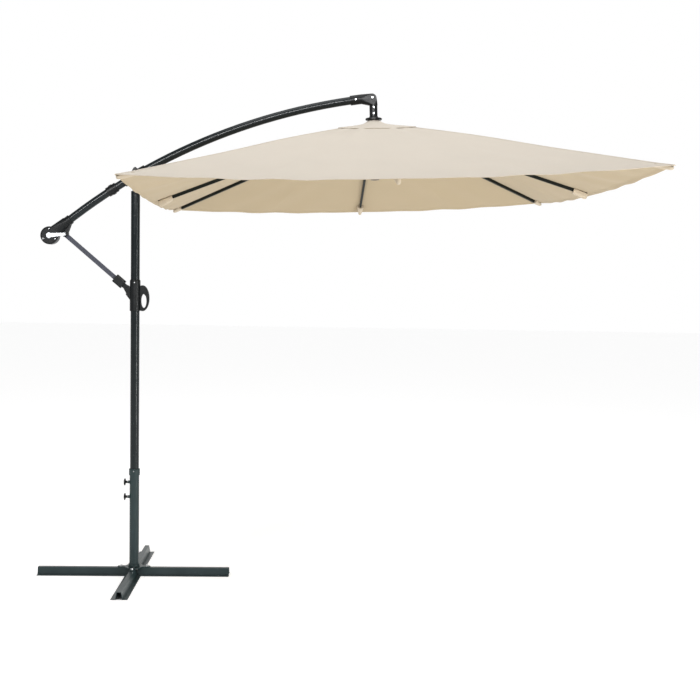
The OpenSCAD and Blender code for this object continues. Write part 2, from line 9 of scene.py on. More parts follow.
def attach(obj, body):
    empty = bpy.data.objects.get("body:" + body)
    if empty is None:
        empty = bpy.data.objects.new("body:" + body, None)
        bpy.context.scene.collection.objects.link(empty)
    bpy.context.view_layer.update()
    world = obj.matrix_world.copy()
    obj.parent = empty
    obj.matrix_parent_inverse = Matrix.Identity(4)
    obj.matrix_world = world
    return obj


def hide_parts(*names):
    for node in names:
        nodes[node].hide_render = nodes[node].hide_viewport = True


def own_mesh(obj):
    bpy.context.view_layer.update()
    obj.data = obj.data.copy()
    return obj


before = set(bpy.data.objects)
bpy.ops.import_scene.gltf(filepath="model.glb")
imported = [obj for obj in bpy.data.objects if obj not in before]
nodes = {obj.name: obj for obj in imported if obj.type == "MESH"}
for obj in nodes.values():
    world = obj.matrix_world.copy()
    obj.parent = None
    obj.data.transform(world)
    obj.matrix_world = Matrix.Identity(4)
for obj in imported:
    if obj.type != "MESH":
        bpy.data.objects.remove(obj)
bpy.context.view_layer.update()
print("frame loaded:", len(nodes), "parts")

diagonal = math.sqrt(2)  # from a square's half side to its corner

# The hub: top of its flange, the lean of its axis and the circle of rib pivots.
hub = {"x": 1.331, "z": 2.6155, "tilt": 2.3, "turn": 1.5, "pivotR": 0.046, "pivotZ": 0.033}
hubLean = Matrix.Rotation(-math.radians(hub["tilt"]), 4, "Y")
hubFrame = Matrix.Translation((hub["x"], 0, hub["z"])) @ hubLean
canopyFrame = hubFrame @ Matrix.Rotation(math.radians(hub["turn"]), 4, "Z")

# Ribs go round the hub every 45 degrees, mid-side and corner ones in turn.
ribNames = ["right", "back_right", "back", "back_left", "left", "front_left", "front", "front_right"]
ribs = {
    "spacing": 45,
    "cornerSlope": 12.5,
    "midSlope": 19.2,
    "cornerLength": 1.768,
    "midLength": 1.240,
    "depth": 0.018,
}


def isCorner(rib):
    return rib % 2 == 1


class Wire:
    # One output socket; sums, products and so on add the nodes they need.
    def __init__(self, finish, socket):
        self.finish, self.socket = finish, socket

    def joined(self, operation, other, swapped=False):
        first, second = (other, self) if swapped else (self, other)
        kind, pair = self.socket.type, {0: first, 1: second}
        if kind == "VALUE":
            return self.finish.node("ShaderNodeMath", {"operation": operation}, pair)
        if kind == "VECTOR":
            return self.finish.node("ShaderNodeVectorMath", {"operation": operation}, pair)
        mixing = {"data_type": "RGBA", "blend_type": operation}
        return self.finish.node("ShaderNodeMix", mixing, {0: 1.0, 6: first, 7: second}, 2)

    def __add__(self, other):
        return self.joined("ADD", other)

    def __radd__(self, other):
        return self.joined("ADD", other, True)

    def __sub__(self, other):
        return self.joined("SUBTRACT", other)

    def __rsub__(self, other):
        return self.joined("SUBTRACT", other, True)

    def __mul__(self, other):
        return self.joined("MULTIPLY", other)

    def __rmul__(self, other):
        return self.joined("MULTIPLY", other, True)

    def below(self, limit):
        return self.joined("LESS_THAN", limit)

    def above(self, limit):
        return self.joined("GREATER_THAN", limit)

    def size(self):
        return self.finish.node("ShaderNodeMath", {"operation": "ABSOLUTE"}, {0: self})

    def sine(self):
        return self.finish.node("ShaderNodeMath", {"operation": "SINE"}, {0: self})


class Finish:
    # A material with one Principled shader, wired with node() and set().
    def __init__(self, name, **fixed):
        self.material = bpy.data.materials.new(name)
        self.material.use_nodes = True
        self.tree = self.material.node_tree
        self.shader = next(n for n in self.tree.nodes if n.type == "BSDF_PRINCIPLED")
        for key, value in fixed.items():
            self.shader.inputs[key.replace("_", " ")].default_value = value

    def node(self, kind, settings=None, inputs=None, out=0):
        made = self.tree.nodes.new(kind)
        for key, value in (settings or {}).items():
            setattr(made, key, value)
        for key, value in (inputs or {}).items():
            self.feed(made.inputs[key], value)
        return Wire(self, made.outputs[out])

    def feed(self, socket, value):
        if isinstance(value, Wire):
            self.tree.links.new(value.socket, socket)
        else:
            socket.default_value = value

    def set(self, name, value):
        self.feed(self.shader.inputs[name], value)

    def place(self):
        return self.node("ShaderNodeTexCoord", out="Object")

    def noise(self, scale, detail, place=None):
        inputs = {"Vector": place or self.place(), "Scale": scale, "Detail": detail}
        return self.node("ShaderNodeTexNoise", {}, inputs)

    def along(self, axis, vector):
        return self.node("ShaderNodeSeparateXYZ", {}, {0: vector}, axis)

    def blendColours(self, factor, first, second):
        inputs = {0: factor, 6: first, 7: second}
        return self.node("ShaderNodeMix", {"data_type": "RGBA"}, inputs, 2)

    def bump(self, height, distance, strength):
        inputs = {"Height": height, "Distance": distance, "Strength": strength}
        self.set("Normal", self.node("ShaderNodeBump", {}, inputs))

    def attribute(self, name):
        return self.node("ShaderNodeAttribute", {"attribute_name": name}, out="Fac")


def rgba(colour, gain=1.0):
    return (colour[0] * gain, colour[1] * gain, colour[2] * gain, 1.0)


# Baked paint: an orange-peel skin, faint cloudiness, small scuffs that are a little lighter.
paintSkin = {
    "cloudScale": 9.0, "darkCloud": 0.82, "lightCloud": 1.2, "cloudShine": 0.16,
    "scuffScale": 70.0, "scuffEdge": 0.66, "scuffTone": 1.9, "scuffShare": 0.25, "scuffShine": 0.08,
    "peelScale": 620.0, "peelDepth": 0.00012, "peelStrength": 0.5,
}


def powderCoat(name, colour, roughness, gloss):
    skin = paintSkin
    coat = Finish(name, Specular_IOR_Level=gloss)
    cloud = coat.noise(skin["cloudScale"], 3.0)
    peel = coat.noise(skin["peelScale"], 1.0)
    scuff = coat.noise(skin["scuffScale"], 6.0).above(skin["scuffEdge"])
    darker, lighter = rgba(colour, skin["darkCloud"]), rgba(colour, skin["lightCloud"])
    tone = coat.blendColours(cloud, darker, lighter)
    worn = rgba(colour, skin["scuffTone"])
    coat.set("Base Color", coat.blendColours(scuff * skin["scuffShare"], tone, worn))
    shine = roughness + (cloud - 0.5) * skin["cloudShine"] + scuff * skin["scuffShine"]
    coat.set("Roughness", shine)
    coat.bump(peel, skin["peelDepth"], skin["peelStrength"])
    return coat.material


# Fine spark-eroded grain with slightly shinier rubbed spots.
plasticSkin = {
    "grainScale": 1500.0, "grainDepth": 0.00012, "grainStrength": 0.45,
    "rubbedScale": 24.0, "darkRub": 0.8, "lightRub": 1.35, "rubbedShine": 0.22,
}


def mouldedPlastic(name, colour, roughness, gloss):
    skin = plasticSkin
    plastic = Finish(name, Specular_IOR_Level=gloss)
    grain = plastic.noise(skin["grainScale"], 2.0)
    rubbed = plastic.noise(skin["rubbedScale"], 4.0)
    darker, lighter = rgba(colour, skin["darkRub"]), rgba(colour, skin["lightRub"])
    plastic.set("Base Color", plastic.blendColours(rubbed, darker, lighter))
    plastic.set("Roughness", roughness + (rubbed - 0.5) * skin["rubbedShine"])
    plastic.bump(grain, skin["grainDepth"], skin["grainStrength"])
    return plastic.material


# Drawn or cast metal: streaks along one way and a little dulling.
metalSkin = {
    "lineStretch": 0.06, "lineShine": 0.2, "lineDepth": 0.0001, "lineStrength": 0.35,
    "dullScale": 30.0, "darkDull": 0.78, "lightDull": 1.08, "dullShine": 0.12,
}


def brightMetal(name, colour, roughness, streak):
    skin = metalSkin
    metal = Finish(name, Metallic=1.0)
    stretched = metal.place() * (streak, streak, streak * skin["lineStretch"])
    lines = metal.noise(1.0, 3.0, stretched)
    dull = metal.noise(skin["dullScale"], 3.0)
    darker, lighter = rgba(colour, skin["darkDull"]), rgba(colour, skin["lightDull"])
    metal.set("Base Color", metal.blendColours(dull, darker, lighter))
    shine = roughness + (lines - 0.5) * skin["lineShine"] + (dull - 0.5) * skin["dullShine"]
    metal.set("Roughness", shine)
    metal.bump(lines, skin["lineDepth"], skin["lineStrength"])
    return metal.material


# The plait's grooves are painted darker than its crests as painted shade, on the same waves as the bump.
cordSkin = {
    "plaitScale": 320.0, "dark": (0.45, 0.45, 0.44), "light": (0.78, 0.78, 0.76),
    "depth": 0.0004, "strength": 0.6,
}


def braidedCord():
    skin = cordSkin
    cord = Finish("braidedCord", Roughness=0.8)
    inputs = {"Vector": cord.place(), "Scale": skin["plaitScale"]}
    plait = cord.node("ShaderNodeTexWave", {"bands_direction": "DIAGONAL"}, inputs)
    cord.set("Base Color", cord.blendColours(plait, rgba(skin["dark"]), rgba(skin["light"])))
    cord.bump(plait, skin["depth"], skin["strength"])
    return cord.material


# Plain-woven polyester with a stitched hem, ridge stitches and faint unevenness in the dye; the underside
# is painted darker and tanner, as painted shade and light shining through the cloth.
clothLook = {
    "colour": (0.735, 0.665, 0.570), "paintedShadeTint": (0.62, 0.55, 0.41), "roughness": 0.86,
    "slubScale": 4.0, "darkSlub": 0.965, "lightSlub": 1.03,
    "weavePitch": 0.0011, "weaveDepth": 0.12, "weaveShine": 0.05,
    "hemWidth": 0.018, "hemTint": (0.9, 0.88, 0.85), "hemTintShare": 0.35,
    "stitchPitch": 0.0042, "stitchWidth": 0.0011, "stitchGap": -0.35, "stitchTone": 0.72,
    "hemStitchIn": 0.0025, "ridgeStitchIn": 0.0045, "depth": 0.0006, "strength": 0.5,
}


def canopyCloth():
    look = clothLook
    cloth = Finish("canopyCloth", Roughness=look["roughness"], Specular_IOR_Level=0.25,
                   Sheen_Weight=0.12, Sheen_Roughness=0.5)
    turns = 2 * math.pi / look["weavePitch"]
    weave = cloth.place() * (turns, turns, turns)
    warp, weft = cloth.along("X", weave), cloth.along("Y", weave)
    threads = warp.sine() * weft.sine()
    slub = cloth.noise(look["slubScale"], 4.0)
    paintedShadeShare = cloth.attribute("paintedShadeShare")
    hem = cloth.attribute("hemDistance")
    ridge = cloth.attribute("ridgeDistance")
    run = cloth.attribute("run")
    dash = (run * (2 * math.pi / look["stitchPitch"])).sine().above(look["stitchGap"])
    halfStitch = look["stitchWidth"] * 0.5
    hemStitch = (hem - look["hemWidth"] + look["hemStitchIn"]).size().below(halfStitch) * dash
    ridgeStitch = (ridge - look["ridgeStitchIn"]).size().below(halfStitch) * dash
    stitches = hemStitch + ridgeStitch
    doubled = hem.below(look["hemWidth"])
    darker, lighter = rgba(look["colour"], look["darkSlub"]), rgba(look["colour"], look["lightSlub"])
    top = cloth.blendColours(slub, darker, lighter)
    # Painted shade: the underside is darkened and tanned towards the painted shade tint.
    withPaintedShade = cloth.blendColours(paintedShadeShare, top, top * rgba(look["paintedShadeTint"]))
    double = withPaintedShade * rgba(look["hemTint"])
    dense = cloth.blendColours(doubled * look["hemTintShare"], withPaintedShade, double)
    thread = rgba(look["colour"], look["stitchTone"])
    cloth.set("Base Color", cloth.blendColours(stitches * 0.5, dense, thread))
    cloth.set("Roughness", look["roughness"] - threads * look["weaveShine"])
    cloth.bump(threads * look["weaveDepth"] - stitches, look["depth"], look["strength"])
    return cloth.material


# Colour, roughness, then gloss; for metals the last value is how fine the streaks are.
materials = {
    "basePaint": powderCoat("basePaint", (0.025, 0.045, 0.048), 0.32, 0.28),
    "polePaint": powderCoat("polePaint", (0.0052, 0.0100, 0.0120), 0.22, 0.30),
    "strutPaint": powderCoat("strutPaint", (0.070, 0.074, 0.098), 0.5, 0.2),
    "ribPaint": powderCoat("ribPaint", (0.008, 0.011, 0.009), 0.45, 0.15),
    "blackPlastic": mouldedPlastic("blackPlastic", (0.0022, 0.0036, 0.0044), 0.36, 0.26),
    "zinc": brightMetal("zinc", (0.62, 0.63, 0.64), 0.34, 700.0),
    "crankMetal": brightMetal("crankMetal", (0.55, 0.57, 0.59), 0.42, 260.0),
    "cord": braidedCord(),
    "cloth": canopyCloth(),
}
print("materials made:", len(materials))

# Parts that are not named here are black plastic.
paintedParts = {
    "basePaint": ["cross_bar_x", "cross_bar_y", "foot_plate", "lower_tube", "tube_collar"],
    "polePaint": ["upper_pole", "boom_tube"],
    "strutPaint": ["strut_bar"],
    "zinc": ["foot_bolts", "upper_screw_stud", "lower_screw_stud", "head_pin", "strut_pin", "boom_screws"],
    "crankMetal": ["crank_arm"],
    "cord": ["lift_cord"],
    "ribPaint": ["rib_" + n for n in ribNames] + ["stretcher_" + n for n in ribNames],
}


def paintParts():
    chosen = {part: key for key, parts in paintedParts.items() for part in parts}
    for name, part in nodes.items():
        part.data.materials.clear()
        part.data.materials.append(materials[chosen.get(name, "blackPlastic")])


paintParts()


def addPiece(name, points, faces, material, body, smooth=True):
    mesh = bpy.data.meshes.new(name)
    mesh.from_pydata([tuple(p) for p in points], [], faces)
    mesh.update()
    made = bmesh.new()
    made.from_mesh(mesh)
    bmesh.ops.recalc_face_normals(made, faces=made.faces)
    made.to_mesh(mesh)
    made.free()
    mesh.materials.append(materials[material])
    if smooth:
        mesh.shade_smooth()
        mesh.set_sharp_from_angle(angle=math.radians(38))
    piece = bpy.data.objects.new(name, mesh)
    bpy.context.scene.collection.objects.link(piece)
    if body:
        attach(piece, body)
    return piece


def storeValues(piece, key, values):
    # One number for each point, which the cloth's material reads by its name.
    store = piece.data.attributes.new(key, "FLOAT", "POINT")
    store.data.foreach_set("value", np.array(values, np.float32))


def ringFaces(rings, count, closedEnds=True):
    faces = []
    for r in range(rings - 1):
        for i in range(count):
            j = (i + 1) % count
            low, high = r * count, (r + 1) * count
            faces.append((low + i, low + j, high + j, high + i))
    if closedEnds:
        faces.append(tuple(range(count)))
        faces.append(tuple((rings - 1) * count + i for i in reversed(range(count))))
    return faces


def roundAngle(i, count):
    return 2 * math.pi * i / count


def roundedRing(halfWidth, halfHeight, count, squareness):
    ring = []
    for i in range(count):
        c, s = math.cos(roundAngle(i, count)), math.sin(roundAngle(i, count))
        ring.append((halfWidth * math.copysign(abs(c) ** (2 / squareness), c),
                     halfHeight * math.copysign(abs(s) ** (2 / squareness), s)))
    return ring


# Half sides are measured from the hub's axis; keep is the width left when the cloth is gathered.
canopy = {
    "half": 1.265, "midReach": 1.254, "reachCurve": 1.6, "edgeBow": 0.004, "hole": 0.145,
    "thickness": 0.0012, "overRib": 0.001, "overCornerRib": 0.0016,
    "ridgeLift": 0.006, "ridgeStart": 0.2, "ridgeLength": 1.0,
    "cornerFlick": 0.003, "flickStart": 1.70, "flickLength": 0.09,
    "straightShare": 0.55, "sag": 0.010, "keep": 0.11, "alongSteps": 44, "acrossSteps": 12,
}

# Faint waves in the cloth: some beside the vent, some towards the hem.
ventCrease = {"height": 0.0045, "across": 2.6, "outward": 0.9, "centre": 0.36, "spread": 0.2}
hemCrease = {"height": 0.0034, "across": 4.2, "outward": -1.3, "start": 0.5, "length": 0.6}

vent = {
    "half": 0.212, "neck": 0.033, "thickness": 0.0012, "hem": 0.014, "alongSteps": 18, "acrossSteps": 10,
    "top": -0.0215, "slope": 0.1667, "collarRise": 0.0200, "collarWidth": 0.032,
    "squareFrom": 0.03, "squareOver": 0.12, "ripple": 0.0016, "rippleFrom": 0.05,
    "droop": 0.0055, "droopFrom": 0.16, "droopOver": 0.05,
}


def ribTop(r, slope):
    # Height of the cloth where it lies on a rib, r out from the axis.
    a = math.radians(slope)
    drop = (r - hub["pivotR"]) * math.tan(a)
    return -hub["pivotZ"] - drop + ribs["depth"] / 2 / math.cos(a) + canopy["overRib"]


def smoothStep(x):
    x = np.clip(x, 0, 1)
    return x * x * (3 - 2 * x)


def bulge(t):
    # 0 at both edges of the cloth between two ribs and 1 in its middle.
    return 4 * t * (1 - t)


def hemReach(t):
    further = (canopy["half"] - canopy["midReach"]) * t ** canopy["reachCurve"]
    return canopy["midReach"] + further - canopy["edgeBow"] * bulge(t)


def creaseWave(crease, x, t):
    turns = crease["across"] * t + crease["outward"] * x
    return crease["height"] * np.sin(np.pi * t) ** 2 * np.sin(2 * np.pi * turns)


def canopyHeight(x, t):
    # Height at x out from the hub, t of the way from the mid-side rib to the corner rib.
    r = x * diagonal
    along = np.clip((r - canopy["ridgeStart"]) / canopy["ridgeLength"], 0, 1)
    corner = ribTop(r, ribs["cornerSlope"]) + canopy["overCornerRib"]
    corner = corner + canopy["ridgeLift"] * np.sin(np.pi * along) ** 2
    flick = smoothStep((r - canopy["flickStart"]) / canopy["flickLength"])
    corner = corner + canopy["cornerFlick"] * flick
    middle = ribTop(x, ribs["midSlope"])
    share = canopy["straightShare"] * t + (1 - canopy["straightShare"]) * t ** 2
    drape = canopy["sag"] * bulge(t) * (x / canopy["half"]) ** 2
    nearVent = np.exp(-((x - ventCrease["centre"]) / ventCrease["spread"]) ** 2)
    nearHem = smoothStep((x - hemCrease["start"]) / hemCrease["length"])
    creases = creaseWave(ventCrease, x, t) * nearVent + creaseWave(hemCrease, x, t) * nearHem
    return middle + (corner - middle) * share - drape + creases


def ventHeight(x, t):
    # A round collar at the flange turns into a four-sided roof.
    r = x * np.sqrt(1 + t * t)
    square = np.clip((x - vent["squareFrom"]) / vent["squareOver"], 0, 1)
    q = r * (1 - square) + x * diagonal * square
    risen = smoothStep((x - vent["rippleFrom"]) / vent["squareOver"])
    ripple = vent["ripple"] * np.sin(np.pi * t) * risen
    droop = vent["droop"] * (1 - t * t) * smoothStep((x - vent["droopFrom"]) / vent["droopOver"])
    collar = vent["collarRise"] * np.exp(-(q - vent["neck"]) / vent["collarWidth"])
    return vent["top"] - vent["slope"] * q + collar - ripple - droop


def ribDirections(rib):
    # Level unit vectors out along a rib and across it.
    a = math.radians(ribs["spacing"] * rib)
    return Vector((math.cos(a), math.sin(a), 0)), Vector((-math.sin(a), math.cos(a), 0))


def wingPoint(midRib, side, x, t, z):
    # Wings are measured from their mid-side rib; side is +1 or -1 towards a corner.
    out, across = ribDirections(midRib)
    return out * x + across * side * (x * t) + Vector((0, 0, z))


hemRows = {"turned": 0.0012, "before": 0.001, "after": 0.0006, "extraThickness": 0.0008}


def clothWing(name, rib, midRib, side, inner, reach, height, thickness, steps, hemWidth):
    # Half of the cloth over one rib, from the rib to the line halfway to the next one.
    corner = isCorner(rib)
    tLine = np.linspace(*((0.5, 1.0) if corner else (0.0, 0.5)), steps[1] + 1)
    offsets = [0.0, hemRows["turned"], hemWidth - hemRows["before"], hemWidth + hemRows["after"]]
    share = np.linspace(0, 1, steps[0] + 1)
    grid, hemD, ridgeD, run = [], [], [], []
    for t in tLine:
        far, near = reach(t), inner(t)
        stations = [far - o for o in offsets]
        stations += list((far - offsets[-1]) + (near - far + offsets[-1]) * share[1:])
        for x in stations:
            grid.append(wingPoint(midRib, side, x, t, float(height(x, t))))
            hemD.append(far - x)
            ridgeD.append((1 - t) * x / diagonal)
            run.append(x * t if far - x < hemWidth * 1.5 else x * diagonal)
    rows, cols = len(tLine), len(offsets) + steps[0]
    pts = np.array([tuple(p) for p in grid]).reshape(rows, cols, 3)
    normal = np.cross(np.gradient(pts, axis=0), np.gradient(pts, axis=1))
    normal /= np.linalg.norm(normal, axis=2, keepdims=True)
    normal *= np.sign(normal[..., 2:3])
    hemArray = np.array(hemD).reshape(rows, cols, 1)
    below = thickness / 2 + np.where(hemArray < hemWidth, hemRows["extraThickness"], 0.0)
    top, bottom = pts + normal * thickness / 2, pts - normal * below
    both = np.concatenate([top.reshape(-1, 3), bottom.reshape(-1, 3)])
    points = [canopyFrame @ Vector(p) for p in both]
    n = rows * cols
    faces = []
    for r in range(rows - 1):
        for c in range(cols - 1):
            q = (r * cols + c, r * cols + c + 1, (r + 1) * cols + c + 1, (r + 1) * cols + c)
            faces.append(q)
            faces.append(tuple(i + n for i in reversed(q)))
    edge = [r * cols for r in range(rows)] + [(rows - 1) * cols + c for c in range(1, cols)]
    edge += [r * cols + cols - 1 for r in range(rows - 2, -1, -1)]
    edge += [c for c in range(cols - 2, 0, -1)]
    for i, a in enumerate(edge):
        b = edge[(i + 1) % len(edge)]
        faces.append((a, b, b + n, a + n))
    ribName = ribNames[rib]
    piece = addPiece(name, points, faces, "cloth", None)
    for key, values in (("hemDistance", hemD), ("ridgeDistance", ridgeD), ("run", run)):
        storeValues(piece, key, values * 2)
    # Painted shade: the underside points get the full painted shade, the top points none.
    storeValues(piece, "paintedShadeShare", [0.0] * n + [1.0] * n)
    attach(piece, "rib_" + ribName)
    # The rib line and the direction across it in the wing's own plane are worked out, but nothing uses
    # them.
    ribLine = rows - 1 if corner else 0
    farSide = rows - 1 - ribLine
    pastHem = 6
    a, b, s = Vector(pts[ribLine, -1]), Vector(pts[ribLine, pastHem]), Vector(pts[farSide, pastHem])
    d = (b - a).normalized()
    across = (s - a) - d * (s - a).dot(d)
    rotation = canopyFrame.to_3x3()
    tuple(rotation @ across.normalized())
    tuple(canopyFrame @ b)
    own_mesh(piece)
    length = float(np.linalg.norm(pts[ribLine, 0] - pts[ribLine, -1]))
    return piece


def canopyHole(t):
    return canopy["hole"]


def ventNeck(t):
    return vent["neck"] / math.sqrt(1 + t * t)


def ventReach(t):
    return vent["half"]


def buildCanopy():
    wings = 0
    for rib, ribName in enumerate(ribNames):
        for side in (1, -1):
            midRib = (rib - side) % len(ribNames) if isCorner(rib) else rib
            label = ribName + ("A" if side > 0 else "B")
            main = clothWing("canopy_" + label, rib, midRib, side, canopyHole, hemReach, canopyHeight,
                             canopy["thickness"], (canopy["alongSteps"], canopy["acrossSteps"]),
                             clothLook["hemWidth"])
            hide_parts("panel_" + ribName)
            clothWing("vent_" + label, rib, midRib, side, ventNeck, ventReach, ventHeight,
                      vent["thickness"], (vent["alongSteps"], vent["acrossSteps"]), vent["hem"])
            wings += 2
    print("canopy wings:", wings)


buildCanopy()


# A sewn sleeve of the same cloth takes each rib's end.
pocket = {
    "length": 0.088, "beyond": 0.006, "cornerHeight": 0.0125, "midHeight": 0.034,
    "halfWidth": 0.0135, "flare": 0.012, "flareCurve": 1.5, "overRib": 0.0002,
    "mouthDepth": 0.35, "depthCurve": 0.7, "pinch": 0.25, "squareness": 3.2, "sides": 32, "shade": 0.6,
    "fullness": [(0.0, 1.0), (0.25, 1.0), (0.6, 0.97), (0.85, 0.9), (0.96, 0.72), (1.0, 0.4)],
}


def ribPlace(rib):
    # From a rib's own frame (X along it, Z up) to the world.
    slope = ribs["cornerSlope"] if isCorner(rib) else ribs["midSlope"]
    pivot = Matrix.Translation((hub["pivotR"], 0, -hub["pivotZ"]))
    turned = canopyFrame @ Matrix.Rotation(math.radians(ribs["spacing"] * rib), 4, "Z")
    return turned @ pivot @ Matrix.Rotation(math.radians(slope), 4, "Y")


def buildPockets():
    for rib, ribName in enumerate(ribNames):
        corner, place = isCorner(rib), ribPlace(rib)
        end = (ribs["cornerLength"] if corner else ribs["midLength"]) + pocket["beyond"]
        depth = (pocket["cornerHeight"] if corner else pocket["midHeight"]) - ribs["depth"] / 2
        top = ribs["depth"] / 2 + pocket["overRib"]
        points = []
        for s, fullness in pocket["fullness"]:
            half = pocket["halfWidth"] + pocket["flare"] * (1 - s) ** pocket["flareCurve"]
            deep = pocket["mouthDepth"] + (1 - pocket["mouthDepth"]) * s ** pocket["depthCurve"]
            low = -ribs["depth"] / 2 - depth * deep
            middle, tall = (top + low) / 2, (top - low) / 2
            x = end - pocket["length"] * (1 - s)
            for y, z in roundedRing(half, tall, pocket["sides"], pocket["squareness"]):
                narrow = 1 - pocket["pinch"] * (0.5 - z / tall / 2)
                points.append(place @ Vector((x, y * fullness * narrow, middle + z * fullness)))
        faces = ringFaces(len(pocket["fullness"]), pocket["sides"])
        piece = addPiece("pocket_" + ribName, points, faces, "cloth", "rib_" + ribName)
        # Painted shade: pockets get part of the underside's painted shade.
        for key, value in (("hemDistance", 1.0), ("ridgeDistance", 1.0), ("paintedShadeShare", pocket["shade"])):
            storeValues(piece, key, [value] * len(points))
    print("rib pockets:", len(ribNames))


buildPockets()


# A narrow tape covers the seam along each corner ridge; its section is (across, lift) points.
tape = {
    "halfWidth": 0.0065, "steps": 60, "fromHole": 0.004, "fromCorner": 0.006,
    "section": [(-1, 0.0003), (-1, 0.0013), (0, 0.0018), (1, 0.0013), (1, 0.0003), (0, 0.0004)],
}


def buildRidgeTapes():
    steps, count = tape["steps"], len(tape["section"])
    r0 = canopy["hole"] * diagonal + tape["fromHole"]
    r1 = canopy["half"] * diagonal - tape["fromCorner"]
    corners = [rib for rib in range(len(ribNames)) if isCorner(rib)]
    for rib in corners:
        out, along = ribDirections(rib)
        points = []
        for i in range(steps + 1):
            r = r0 + (r1 - r0) * i / steps
            for share, lift in tape["section"]:
                across = tape["halfWidth"] * share
                x, y = (r + abs(across)) / diagonal, (r - abs(across)) / diagonal
                z = float(canopyHeight(x, y / x if across else 1.0))
                up = Vector((0, 0, z + canopy["thickness"] / 2 + lift))
                points.append(canopyFrame @ (out * r + along * across + up))
        ribName = ribNames[rib]
        piece = addPiece("ridgeTape_" + ribName, points, ringFaces(steps + 1, count),
                         "cloth", "rib_" + ribName)
        sideways = [tape["halfWidth"] * abs(share) for share, lift in tape["section"]]
        storeValues(piece, "ridgeDistance", sideways * (steps + 1))
        storeValues(piece, "hemDistance", [1.0] * len(points))
        storeValues(piece, "run", np.repeat(np.linspace(r0, r1, steps + 1), count))
    print("ridge tapes:", len(corners))


buildRidgeTapes()


# The lift cord runs from the winch drum through the boom, over the pulley and down to the runner.
liftCord = {
    "radius": 0.0015, "arcCentre": (1.7618, -0.654), "arcRadius": 3.4299,
    "drumAngle": 40.9, "pulleyAngle": 7.6, "pulleyAt": (-0.014, 0.118), "pulleyRadius": 0.014,
    "fixedEnd": -0.335, "knotEnd": -0.330, "dropTop": 0.128, "dropShare": 0.97,
    "boomSteps": 120, "pulleySteps": 18, "dropSteps": 8, "sides": 14,
}


def sweptTube(name, path, radius, material, body):
    # A round tube along a path that stays in the XZ plane.
    points, count = [], liftCord["sides"]
    side = Vector((0, 1, 0))
    for i, place in enumerate(path):
        ahead = (path[min(i + 1, len(path) - 1)] - path[max(i - 1, 0)]).normalized()
        up = ahead.cross(side)
        for k in range(count):
            a = roundAngle(k, count)
            points.append(place + side * (radius * math.cos(a)) + up * (radius * math.sin(a)))
    return addPiece(name, points, ringFaces(len(path), count), material, body)


def buildLiftCord():
    cord = liftCord
    path = []
    centreX, centreZ = cord["arcCentre"]
    for i in range(cord["boomSteps"] + 1):
        turned = (cord["pulleyAngle"] - cord["drumAngle"]) * i / cord["boomSteps"]
        a = math.radians(cord["drumAngle"] + turned)
        x, z = centreX - cord["arcRadius"] * math.sin(a), centreZ + cord["arcRadius"] * math.cos(a)
        path.append(Vector((x, 0, z)))
    pulleyX, pulleyZ = cord["pulleyAt"]
    for i in range(1, cord["pulleySteps"] + 1):
        a = math.radians(90 * (1 - i / cord["pulleySteps"]))
        x, z = pulleyX + cord["pulleyRadius"] * math.cos(a), pulleyZ + cord["pulleyRadius"] * math.sin(a)
        path.append(hubFrame @ Vector((x, 0, z)))
    path.append(hubFrame @ Vector((0, 0, cord["fixedEnd"])))
    run = sweptTube("liftCordRun", path, cord["radius"], "cord", "boom")
    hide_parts("lift_cord")
    drop = []
    for i in range(cord["dropSteps"] + 1):
        z = cord["knotEnd"] + (cord["dropTop"] - cord["knotEnd"]) * i / cord["dropSteps"]
        drop.append(hubFrame @ Vector((0, 0, z)))
    sweptTube("liftCordDrop", drop, cord["radius"] * cord["dropShare"], "cord", "runner")
    length = sum((b - a).length for a, b in zip(path, path[1:]))
    print("lift cord, metres:", round(length, 3))


buildLiftCord()


# Pan heads with a cross recess; the profile is (share of radius, share of height) from the crown out.
screws = {
    "carriageScrew": {"at": (0, -0.0290, 1.676), "radius": 0.0045, "body": "carriage"},
    "collarScrew": {"at": (0, -0.0305, 0.602), "radius": 0.0035, "body": "base"},
}
screwShape = {
    "profile": [(0.25, 1.0), (0.5, 0.97), (0.75, 0.84), (0.93, 0.55), (1.0, 0.2), (1.0, 0.0)],
    "sides": 48, "height": 0.62, "crown": 0.55, "recessArm": 0.14, "recessReach": 0.6, "recessDepth": 0.45,
}


def screwHead(name, place, radius, body):
    shape = screwShape
    count, profile = shape["sides"], shape["profile"]
    points = [place @ Vector((0, 0, radius * shape["crown"]))]
    for share, height in profile:
        for i in range(count):
            a = roundAngle(i, count)
            arm = min(abs(math.sin(a)), abs(math.cos(a))) * share
            inRecess = arm < shape["recessArm"] and share < shape["recessReach"]
            z = radius * shape["height"] * (height - (shape["recessDepth"] if inRecess else 0.0))
            points.append(place @ Vector((radius * share * math.cos(a), radius * share * math.sin(a), z)))
    faces = [(0, 1 + i, 1 + (i + 1) % count) for i in range(count)]
    for r in range(len(profile) - 1):
        near, far = 1 + r * count, 1 + (r + 1) * count
        for i in range(count):
            j = (i + 1) % count
            faces.append((near + i, far + i, far + j, near + j))
    faces.append(tuple(1 + (len(profile) - 1) * count + i for i in range(count)))
    return addPiece(name, points, faces, "zinc", body)


def buildScrews():
    facingFront = Matrix.Rotation(math.radians(90), 4, "X")
    for name, screw in screws.items():
        screwHead(name, Matrix.Translation(screw["at"]) @ facingFront, screw["radius"], screw["body"])
    print("screw heads:", len(screws))


buildScrews()


# A scalloped weld bead round the foot's socket.
weld = {
    "radius": 0.032, "seat": 0.048, "bead": 0.0030, "fullness": 0.9,
    "steps": 8, "sides": 96, "scallop": 0.16, "scallops": 24,
}


